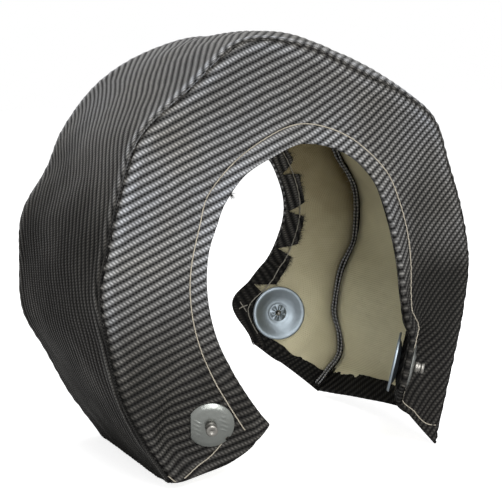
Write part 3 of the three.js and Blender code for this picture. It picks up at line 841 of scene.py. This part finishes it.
def tube(path, radius, sides=6, swell=None):
    """A thread along a path: circles square to it in frames from differences, closed at both ends."""
    tangent = unit(np.gradient(path, axis=0))
    helper = np.where(np.abs(tangent[:, 2:3]) < 0.9, [[0.0, 0, 1]], [[1.0, 0, 0]])
    first = unit(np.cross(tangent, helper))
    second = np.cross(tangent, first)
    turn = np.linspace(0, 2 * np.pi, sides, endpoint=False)
    size = radius * (np.ones(len(path)) if swell is None else swell)
    ring = np.cos(turn)[None, :, None] * first[:, None] + np.sin(turn)[None, :, None] * second[:, None]
    skin = path[:, None] + ring * size[:, None, None]
    faces = grid_faces(len(path), sides, wrap=True, flip=True)
    faces += [list(range(sides)), [(len(path) - 1) * sides + k for k in range(sides)][::-1]]
    travel = np.concatenate([[0], np.cumsum(np.linalg.norm(np.diff(path, axis=0), axis=1))])
    uv = np.stack(np.broadcast_arrays(turn[None, :] * radius, travel[:, None]), axis=-1)
    return skin, faces, uv


def seam_welt():
    """The crowded strands at the front seam's band side: a thin cord with a wave along it, like a twisted
    rope, that fades towards the top."""
    station = np.linspace(0.1, 8.6, 900)
    point, _, _, normal = wall_frame("band", station, 1.3 / wall_width("band", station))
    travel = leg_length("band", station)[1]
    swell = (1 + 0.25 * np.sin(2 * np.pi * travel / 1.9)) * (1 - 0.6 * smooth(5, 8.6, station))
    skin, faces, uv = tube(point + normal * 0.5, 0.6, 8, swell)
    # The welt takes the band's painted light tone, raised 1.7 times.
    tone = np.broadcast_to((painted_light_tone(point, "band") * 1.7)[:, None], skin.shape[:2])
    return mesh_from("front_seam_welt", to_metres(skin), faces, uv, tone)


def fibres(name, roots, directions, lengths, radius, seed):
    """Loose fibres in one mesh: three-sided tapered hairs that bow away from their roots."""
    rng = np.random.default_rng(seed)
    count, steps = len(roots), np.linspace(0, 1, 5)
    bow = unit(rng.normal(size=(count, 3)))
    spine = roots[:, None] + directions[:, None] * (lengths[:, None] * steps)[..., None]
    spine = spine + bow[:, None] * (0.35 * lengths[:, None] * steps**2)[..., None]
    helper = unit(np.cross(directions, bow))
    other = np.cross(directions, helper)
    turn = np.linspace(0, 2 * np.pi, 3, endpoint=False)
    ring = np.cos(turn)[:, None] * helper[:, None, None] + np.sin(turn)[:, None] * other[:, None, None]
    size = radius * (1 - 0.7 * steps)
    skin = spine[:, :, None] + ring * size[None, :, None, None]
    single = np.array(grid_faces(5, 3, wrap=True, flip=True))
    faces = (single[None] + (np.arange(count) * 15)[:, None, None]).reshape(-1, 4).tolist()
    uv = np.zeros((count * 15, 2))
    return mesh_from(name, to_metres(skin.reshape(-1, 3)), faces, uv)


def stitched(name, wall_name, marks, depth=0.0, height=0.35, pitch=3.6):
    """Sewing thread along marks of (station, millimetres from the edge): it lies proud of the cloth between
    needle holes and dips into each one."""
    line = spline(np.array(marks, float), np.linspace(0, len(marks) - 1, 60 * (len(marks) - 1) + 1))
    station, from_edge = np.clip(line[:, 0], 0.04, LAST - 0.04), line[:, 1]
    width = wall_width(wall_name, station)
    point, _, _, normal = wall_frame(wall_name, station, (width - from_edge) / width)
    travel = np.concatenate([[0], np.cumsum(np.linalg.norm(np.diff(point, axis=0), axis=1))])
    steps = np.linspace(0, travel[-1], int(travel[-1] / 0.6) + 2)
    point = np.stack([np.interp(steps, travel, point[:, k]) for k in range(3)], axis=-1)
    normal = np.stack([np.interp(steps, travel, normal[:, k]) for k in range(3)], axis=-1)
    lift = height * np.abs(np.sin(np.pi * steps / pitch)) ** 0.5 - 0.12
    lift = depth + lift if depth > 0 else -lift
    skin, faces, uv = tube(point + normal * lift[:, None], bpy.context.scene.blanket.thread_radius)
    return mesh_from(name, to_metres(skin), faces, uv)


# Marks along the sewing lines: station and millimetres from the free edge.
FRONT_STITCH = [(0.4, 11.2), (1.8, 10.3), (3.8, 10), (5.1, 8.8), (6.7, 11.2), (8, 9.8), (9.3, 11.2),
                (11.2, 8.3), (12.1, 7.7), (13.7, 9.4), (15.1, 10.4), (17.1, 9.3), (19.4, 9.5)]
LEFT_END_STITCH = [(0.62, 14), (0.5, 20.9), (0.26, 36), (0.06, 51), (0.04, 55.5), (0.21, 56.6)]
RIGHT_END_STITCH = [(19.4, 9.5), (19.75, 14), (19.86, 30), (19.86, 48), (19.7, 58)]
BACK_STITCH = [(0.3, 10), (5, 10), (10, 9), (13, 8.5), (16, 9), (19.6, 9)]
TACK = [[(18.88, 3.8), (19.1, 7.8)], [(18.88, 7.8), (19.1, 3.8)]]


def edge_frays(side, count, seed):
    """Fibres that stand out of the hem's raw edge, over the liner."""
    rng = np.random.default_rng(seed)
    station = rng.uniform(0.3, LAST - 0.3, count)
    width = wall_width(side, station)
    from_edge = np.maximum(hem_length(side, station), 2.5)
    point, along, inwards, normal = wall_frame(side, station, (width - from_edge) / width)
    near_end = leg_length(side, station)[0]
    depth = drawn(side, near_end, from_edge, HEM_INNER) + 0.5
    roots = point + normal * depth[:, None]
    aim = unit(-inwards + along * rng.normal(0, 0.7, (count, 1)) + normal * rng.uniform(0, 0.5, (count, 1)))
    return fibres(f"{side}_hem_frays", roots, aim, rng.uniform(0.6, 3.2, count), 0.11, seed)


def allowance_frays(side, count, seed):
    """Fibres that stand up from the raw edges of a seam's two allowances."""
    rng = np.random.default_rng(seed)
    station = rng.uniform(0.2, LAST - 0.2, count)
    root, bisector, beside, sine = corner_frame(side, station)
    ply = rng.choice([-1.0, 1.0], (count, 1))
    roots = root + bisector * ((ALLOWANCE - 0.3) / sine)[:, None] + beside * ply * 1.2
    aim = unit(bisector + rng.normal(0, 0.55, (count, 3)))
    return fibres(f"{side}_seam_frays", roots, aim, rng.uniform(0.6, 2.6, count), 0.12, seed)


def bore_tuft():
    """A small tuft of fibres on the front panel's free edge."""
    rng = np.random.default_rng(77)
    count = 26
    station = 7.36 + rng.normal(0, 0.03, count)
    point, along, inwards, normal = wall_frame("front", station, np.ones(count))
    aim = unit(inwards + along * rng.normal(0, 0.5, (count, 1)) + normal * rng.normal(0, 0.4, (count, 1)))
    return fibres("bore_tuft", point + normal, aim, rng.uniform(1.5, 4.0, count), 0.12, 78)


def closed_lathe(name, profile, segments, seat, bend=None):
    """Turns a profile of (radius, height) that loops back to its start round a fastener's axis:
    x = r cos t, y = r sin t. bend may move these points before they are set in the seat."""
    _, centre, along, normal = seat
    beside = np.cross(normal, along)
    turn = np.linspace(0, 2 * np.pi, segments, endpoint=False)
    radius, height = np.array(profile, float).T
    local = np.stack(np.broadcast_arrays(
        radius[:, None] * np.cos(turn), radius[:, None] * np.sin(turn), height[:, None]), axis=-1)
    if bend is not None:
        local = bend(local)
    skin = centre + local @ np.stack([along, beside, normal])
    rows = len(profile)
    i, j = np.meshgrid(np.arange(rows), np.arange(segments), indexing="ij")
    i2, j2 = (i + 1) % rows, (j + 1) % segments
    quads = np.stack([i * segments + j, i * segments + j2, i2 * segments + j2, i2 * segments + j], axis=-1)
    obj = mesh_from(name, to_metres(skin), quads.reshape(-1, 4).tolist())
    tidy_normals(obj)
    return obj


def tidy_normals(obj):
    """Merges doubles and turns every face outwards."""
    mesh = bmesh.new()
    mesh.from_mesh(obj.data)
    bmesh.ops.remove_doubles(mesh, verts=mesh.verts, dist=1e-6)
    bmesh.ops.recalc_face_normals(mesh, faces=mesh.faces)
    mesh.to_mesh(obj.data)
    mesh.free()


def rounded(profile, steps=4, reach=0.3):
    """Rounds a closed profile's corners: each becomes a quadratic Bezier over a share of both its sides."""
    p = np.array(profile, float)
    before, after = np.roll(p, 1, axis=0), np.roll(p, -1, axis=0)
    start, stop = p + (before - p) * reach, p + (after - p) * reach
    w = np.linspace(0, 1, steps)[None, :, None]
    arcs = start[:, None] * (1 - w) ** 2 + 2 * p[:, None] * w * (1 - w) + stop[:, None] * w**2
    return arcs.reshape(-1, 2)


def outer_washer(name):
    """Polished plate: a shallow dome, one side cut straight, a notch, and short pressed ribs."""
    rim, crown, bend, thick = -GAP, -1.4, -1.0, 0.8
    plate_radius, straight_side, notch_depth, notch_half_angle = 12, 10.1, 1.5, 0.1
    profile = [(STUD_HOLE, crown), (4, crown), (7.2, bend), (9.6, bend + 0.25), (plate_radius, rim),
               (plate_radius, rim - 0.4), (9.6, bend + 0.25 - thick), (7.2, bend - thick), (4, crown - thick),
               (STUD_HOLE, crown - thick)]

    def press(local):
        """Cuts the rim back to the straight side and the notch, and lifts two fields of ribs."""
        angle = np.arctan2(local[..., 1], local[..., 0]) + np.radians(60)
        radius = np.hypot(local[..., 0], local[..., 1])
        straight = straight_side / np.maximum(np.cos(angle), 0.5)
        limit = np.where(np.cos(angle) > 0.8, np.minimum(plate_radius, straight), plate_radius)
        from_notch = np.abs((angle + np.radians(138) + np.pi) % (2 * np.pi) - np.pi)
        limit = np.where(from_notch < notch_half_angle, limit - notch_depth, limit)
        shrink = np.minimum(radius, limit) / np.maximum(radius, 1e-6)
        out = local.copy()
        out[..., :2] *= shrink[..., None]
        side = np.cos(angle + np.radians(8))
        rib = np.exp(-((np.abs(out[..., 0] * 0.5 + out[..., 1] * 0.87) % 2.0 - 1.0) / 0.35) ** 2)
        within = smooth(5.2, 5.8, radius) * (1 - smooth(8.6, 9.4, radius)) * smooth(0.75, 0.9, np.abs(side))
        out[..., 2] -= 0.28 * rib * within
        return out

    return closed_lathe(f"{name}_plate", subdivide(rounded(profile), 0.5), 120, SEATS[name], press)


def subdivide(profile, step):
    """Adds points along a closed profile so that no side is longer than a step."""
    p = np.array(profile, float)
    after = np.roll(p, -1, axis=0)
    parts = [a + (b - a) * np.linspace(0, 1, max(int(np.linalg.norm(b - a) / step), 1) + 1)[:-1, None]
             for a, b in zip(p, after)]
    return np.vstack(parts)


def stud(name):
    """Turned post with a dimpled end, a groove for the lacing wire and a pointed shank."""
    foot = -2.5
    head = foot - 5
    tip = LOCK_BASE + LOCK_SHEET + 3.1
    profile = [(0.01, head + 0.55), (0.9, head + 0.35), (1.5, head), (2.5, head), (3, head + 0.45),
               (3, head + 1.5), (2.6, head + 1.9), (2.6, foot - 1.9), (3, foot - 1.5), (3, foot), (1.3, foot),
               (1.3, tip - 1.3), (0.01, tip)]
    return closed_lathe(f"{name}_post", rounded(profile, 3), 48, SEATS[name])


def locking_washer(name):
    """Stamped bowl: rolled rim, dished wall and a hub ring whose slit lances rise to grip the stud."""
    base, thick, rim, hub = LOCK_BASE, LOCK_SHEET, 16.0, 5.4
    profile = [(STUD_HOLE, base + 0.9), (4.4, base + 0.45), (hub, base), (9.8, base + 1),
               (rim - 1.8, base + 3), (rim - 0.5, base + 2.9), (rim, base + 2.3), (rim, base + 3.35),
               (rim - 0.5, base + 3 + thick), (rim - 1.8, base + 3 + thick), (9.8, base + 1 + thick),
               (hub, base + thick), (4.4, base + 0.45 + thick), (STUD_HOLE, base + 0.9 + thick)]

    def lances(local):
        """Lifts the lances between the slits, and a ring round the hub."""
        angle = np.arctan2(local[..., 1], local[..., 0])
        radius = np.hypot(local[..., 0], local[..., 1])
        lance = np.abs(((angle * LANCES / (2 * np.pi)) % 1) - 0.5) * 2
        out = local.copy()
        inner = 1 - smooth(3.6, 5.2, radius)
        out[..., 2] += inner * (0.7 * smooth(0.1, 0.9, lance) - 0.25)
        out[..., 2] -= 0.5 * inner * (lance > 0.93)
        ring = np.exp(-((radius - 6.2) / 0.5) ** 2)
        out[..., 2] += 0.35 * ring
        return out

    return closed_lathe(f"{name}_lock", subdivide(rounded(profile, 4), 0.9), 120, SEATS[name], lances)


def set_camera(settings):
    """Camera on the line that the photograph was taken along, from a target, two angles, a roll and a
    distance."""
    azimuth, elevation = settings.azimuth, settings.elevation
    view = Vector((-math.sin(azimuth) * math.cos(elevation), math.cos(azimuth) * math.cos(elevation),
                   -math.sin(elevation)))
    target = Vector(settings.target)
    camera = bpy.data.objects.new("camera", bpy.data.cameras.new("camera"))
    camera.data.sensor_width = 36
    camera.data.lens = settings.lens
    camera.data.clip_start = 0.01
    camera.location = target - view * settings.distance
    turn = view.to_track_quat("-Z", "Y") @ Matrix.Rotation(settings.roll, 3, "Z").to_quaternion()
    camera.rotation_mode = "QUATERNION"
    camera.rotation_quaternion = turn
    bpy.context.scene.collection.objects.link(camera)
    bpy.context.scene.camera = camera


def area_light(name, place, target, size, power):
    """A square lamp at a place, turned to face a target."""
    lamp = bpy.data.lights.new(name, "AREA")
    lamp.size = size
    lamp.energy = power
    obj = bpy.data.objects.new(name, lamp)
    obj.location = place
    obj.rotation_mode = "QUATERNION"
    obj.rotation_quaternion = (Vector(target) - Vector(place)).to_track_quat("-Z", "Y")
    bpy.context.scene.collection.objects.link(obj)


def count_of(name, description, default):
    """An integer property for a mesh's grid."""
    return bpy.props.IntProperty(name=name, description=description, default=default, min=6)


def tint_of(name, description, *default):
    """A colour property."""
    return bpy.props.FloatVectorProperty(name=name, description=description, default=default, subtype="COLOR",
                                         min=0, max=1)


class BlanketSettings(bpy.types.PropertyGroup):
    """Sizes of the twill, the thread and the cloth's meshes."""

    ridge_pitch: bpy.props.FloatProperty(name="Ridge pitch", default=4.1, min=1,
                                         description="Distance between the twill's ridges, in millimetres")
    nub_pitch: bpy.props.FloatProperty(name="Nub pitch", default=1.7, min=0.5,
                                       description="Distance between nubs along a ridge, in millimetres")
    thread_radius: bpy.props.FloatProperty(name="Thread radius", default=0.3, min=0.05,
                                           description="Radius of the sewing thread, in millimetres")
    rings: count_of("Rings", "Stations round a cover", 760)
    panel_rows: count_of("Panel rows", "Rows across a panel", 62)
    band_rows: count_of("Band rows", "Rows across the band", 118)
    liner_rings: count_of("Liner rings", "Stations round a liner", 330)
    liner_rows: count_of("Liner rows", "Rows across a liner", 36)
    mat_rings: count_of("Mat rings", "Stations round a mat", 140)
    mat_rows: count_of("Mat rows", "Rows across a mat", 14)


class FinishSettings(bpy.types.PropertyGroup):
    """Colours of the cloths, threads and metals."""

    # Dark cloth between the twill's ridges, darkened further as painted shade.
    twill_gap: tint_of("Twill gaps", "Between the twill's ridges", 0.006, 0.006, 0.006)
    # Crest colours in painted shade and in painted sheen, mixed by the painted light tone.
    twill_in_painted_shade: tint_of("Dull twill", "Crests where the cloth is dull", 0.60, 0.55, 0.47)
    twill_in_painted_sheen: tint_of("Bright twill", "Crests where the cloth is silvery", 0.70, 0.76, 0.88)
    twill_dust: tint_of("Twill dust", "Dust on the twill", 0.52, 0.48, 0.40)
    # The liner's colour in painted shade, towards the top, along its seams and in its crease hollows.
    liner_painted_shade: tint_of("Liner creases", "Liner where it is darkest", 0.10, 0.065, 0.015)
    liner_cream: tint_of("Liner", "Liner where it is palest", 0.80, 0.76, 0.54)
    liner_soil: tint_of("Liner soil", "Soft clouds of soil on the liner", 0.36, 0.30, 0.16)
    liner_speck: tint_of("Liner specks", "Fine specks on the liner", 0.55, 0.50, 0.35)
    felt_dull: tint_of("Dull felt", "The mat's darker fibres", 0.62, 0.57, 0.46)
    felt_pale: tint_of("Pale felt", "The mat's paler fibres", 0.72, 0.69, 0.61)
    thread: tint_of("Thread", "Sewing thread", 0.50, 0.45, 0.36)
    fray: tint_of("Pale fibres", "Fibres that stand out of the seams", 0.34, 0.32, 0.27)
    dark_fray: tint_of("Dark fibres", "Fibres that stand out of the hems", 0.035, 0.033, 0.03)
    plate: tint_of("Plate", "Polished plate of the outer washers", 0.23, 0.24, 0.225)
    stud: tint_of("Stud", "Turned steel of the studs", 0.26, 0.25, 0.23)
    lock: tint_of("Locking washer", "Spring steel of the locking washers", 0.28, 0.325, 0.36)


class StageSettings(bpy.types.PropertyGroup):
    """The camera, the floor and the light."""

    azimuth: bpy.props.FloatProperty(name="Azimuth", description="Turn of the camera round the blanket",
                                     default=math.radians(-27.5), subtype="ANGLE")
    elevation: bpy.props.FloatProperty(name="Elevation", description="Height angle of the camera",
                                       default=math.radians(9.3), subtype="ANGLE")
    roll: bpy.props.FloatProperty(name="Roll", description="Turn of the picture", default=math.radians(-0.8),
                                  subtype="ANGLE")
    distance: bpy.props.FloatProperty(name="Distance", description="From the camera to its target",
                                      default=0.763, subtype="DISTANCE", unit="LENGTH")
    lens: bpy.props.FloatProperty(name="Lens", description="Focal length in millimetres", default=100.4)
    target: bpy.props.FloatVectorProperty(name="Target", description="Point that the camera looks at",
                                          default=(0.00328, 0.00587, 0.10664), subtype="TRANSLATION")
    floor_size: bpy.props.FloatProperty(name="Floor", description="Side of the floor", default=6.0,
                                        subtype="DISTANCE", unit="LENGTH")


class CoverOperator(bpy.types.Operator):
    """Make the three cover cloths with their hems and seam allowances"""

    bl_idname = "blanket.covers"
    bl_label = "Covers"

    def execute(self, context):
        size = context.scene.blanket
        for name in WALLS:
            rows = size.band_rows if name == "band" else size.panel_rows
            face = cover_face(name, size.rings, rows, size.ridge_pitch)
            node = "band_cover" if name == "band" else f"{name}_panel_cover"
            dress(face, material("twill"), "twill_cover", node)
            extras = [end_hem(name, True), end_hem(name, False)]
            if name != "band":
                extras += [panel_hem(name, size.rings)]
                extras += [allowance(name, ply, size.rings // 2) for ply in ("panel", "band")]
            for extra in extras:
                dress(extra, material("twill"), "twill_cover")
            declare_cloth(name, face)
        return {"FINISHED"}


class LinerOperator(bpy.types.Operator):
    """Make the three liner cloths"""

    bl_idname = "blanket.liners"
    bl_label = "Liners"

    def execute(self, context):
        size = context.scene.blanket
        for name in WALLS:
            rows = size.liner_rows * (2 if name == "band" else 1)
            sheet = liner_sheet(name, size.liner_rings, rows)
            node = "band_liner" if name == "band" else f"{name}_panel_liner"
            dress(sheet, material("liner"), "liner_cloth", node)
        return {"FINISHED"}


class ThreadOperator(bpy.types.Operator):
    """Make the sewing threads and the frayed fibres"""

    bl_idname = "blanket.threads"
    bl_label = "Threads"

    def execute(self, context):
        lines = [stitched("front_hem_stitches", "front", FRONT_STITCH),
                 stitched("front_left_end_stitches", "front", LEFT_END_STITCH),
                 stitched("front_right_end_stitches", "front", RIGHT_END_STITCH),
                 stitched("back_hem_stitches", "back", BACK_STITCH)]
        for line in lines:
            dress(line, material("thread"), "liner_cloth")
        inside = stitched("back_hem_dashes", "back", BACK_STITCH, HEM_INNER + 0.2, 0.75, 4.4)
        dress(inside, material("fray"), "liner_cloth")
        for n, marks in enumerate(TACK):
            tack = stitched(f"bar_tack_{n + 1}", "back", marks, HEM_INNER + 0.7, 0.3, 5.7)
            dress(tack, material("fray"), "liner_cloth")
        for n, side in enumerate(("front", "back")):
            dress(edge_frays(side, 1200, 61 + n), material("dark_fray"), "twill_cover")
            dress(allowance_frays(side, 1000, 71 + n), material("fray"), "twill_cover")
        dress(bore_tuft(), material("dark_fray"), "twill_cover")
        dress(seam_welt(), material("twill"), "twill_cover")
        return {"FINISHED"}


class FastenerOperator(bpy.types.Operator):
    """Make the plates, posts and locking washers of the four fasteners"""

    bl_idname = "blanket.fasteners"
    bl_label = "Fasteners"

    def execute(self, context):
        for name in FASTENERS:
            dress(outer_washer(name), material("plate"), "bright_plate", f"{name}_outer_washer")
            dress(stud(name), material("stud"), "stud_steel", f"{name}_stud")
            dress(locking_washer(name), material("lock"), "locking_steel", f"{name}_locking_washer")
        return {"FINISHED"}


class MatOperator(bpy.types.Operator):
    """Make the insulation mats, which the covers and liners hide"""

    bl_idname = "blanket.mats"
    bl_label = "Mats"

    def execute(self, context):
        size = context.scene.blanket
        for name in WALLS:
            node = "band_mat" if name == "band" else f"{name}_panel_mat"
            mat = mat_sheet(name, size.mat_rings, size.mat_rows)
            dress(mat, material("felt"), "insulation_mat", node)
        return {"FINISHED"}


class StageOperator(bpy.types.Operator):
    """Make the camera, the lights, the world and the floor"""

    bl_idname = "blanket.stage"
    bl_label = "Stage"

    def execute(self, context):
        scene = context.scene
        stage = scene.blanket_stage
        scene.view_settings.view_transform = "Standard"
        set_camera(stage)
        half = stage.floor_size / 2
        square = np.array([[-half, -half, 0], [half, -half, 0], [half, half, 0], [-half, half, 0]])
        floor = mesh_from("floor", square, [[0, 1, 2, 3]], smooth_shading=False)
        floor.data.materials.append(white_floor())
        world = bpy.data.worlds.new("studio")
        scene.world = world
        white_world(world)
        for name, lamp in LAMPS.items():
            area_light(name, *lamp)
        return {"FINISHED"}


def largest(nodes, links, first, second):
    """The larger of two sockets' values."""
    node = nodes.new("ShaderNodeMath")
    node.operation = "MAXIMUM"
    links.new(first, node.inputs[0])
    links.new(second, node.inputs[1])
    return node.outputs[0]


def white_floor():
    """White paper that keeps the shadow: diffuse, with a little of its own white for the camera."""
    built, nodes, links, shader = new_material("white floor")
    shader.inputs["Base Color"].default_value = (0.86, 0.86, 0.86, 1)
    shader.inputs["Roughness"].default_value = 1.0
    shader.inputs["Specular IOR Level"].default_value = 0.0
    shader.inputs["Emission Color"].default_value = (1, 1, 1, 1)
    strength = nodes.new("ShaderNodeMath")
    strength.operation = "MULTIPLY"
    links.new(nodes.new("ShaderNodeLightPath").outputs["Is Camera Ray"], strength.inputs[0])
    strength.inputs[1].default_value = FLOOR_GLOW
    links.new(strength.outputs[0], shader.inputs["Emission Strength"])
    return built


def white_world(world):
    """Soft grey light all round, which camera, mirror and glass rays see as white."""
    world.use_nodes = True
    nodes, links = world.node_tree.nodes, world.node_tree.links
    background = nodes["Background"]
    background.inputs["Color"].default_value = (1, 1, 1, 1)
    path = nodes.new("ShaderNodeLightPath").outputs
    mirrored = largest(nodes, links, path["Is Glossy Ray"], path["Is Transmission Ray"])
    seen = largest(nodes, links, path["Is Camera Ray"], mirrored)
    strength = nodes.new("ShaderNodeMapRange")
    links.new(seen, strength.inputs["Value"])
    strength.inputs["To Min"].default_value = WORLD_LIGHT
    strength.inputs["To Max"].default_value = 1.0
    links.new(strength.outputs["Result"], background.inputs["Strength"])


OPERATORS = (CoverOperator, LinerOperator, MatOperator, ThreadOperator, FastenerOperator, StageOperator)


class BlanketPanel(bpy.types.Panel):
    """Lists the blanket's pieces and its stage"""

    bl_idname = "VIEW3D_PT_heat_blanket"
    bl_label = "Heat Blanket"
    bl_space_type = "VIEW_3D"
    bl_region_type = "UI"
    bl_category = "Heat Blanket"

    def draw(self, context):
        for operator in OPERATORS:
            self.layout.operator(operator.bl_idname)


CLASSES = (BlanketSettings, FinishSettings, StageSettings, *OPERATORS, BlanketPanel)


def register():
    """Adds the classes, and the three groups of settings to every scene."""
    for each in CLASSES:
        bpy.utils.register_class(each)
    bpy.types.Scene.blanket = bpy.props.PointerProperty(type=BlanketSettings)
    bpy.types.Scene.blanket_finish = bpy.props.PointerProperty(type=FinishSettings)
    bpy.types.Scene.blanket_stage = bpy.props.PointerProperty(type=StageSettings)


def unregister():
    """Takes away what register added."""
    del bpy.types.Scene.blanket_stage
    del bpy.types.Scene.blanket_finish
    del bpy.types.Scene.blanket
    for each in reversed(CLASSES):
        bpy.utils.unregister_class(each)


def main():
    register()
    for operator in OPERATORS:
        group, call = operator.bl_idname.split(".")
        getattr(getattr(bpy.ops, group), call)()


if __name__ == "__main__":
    main()
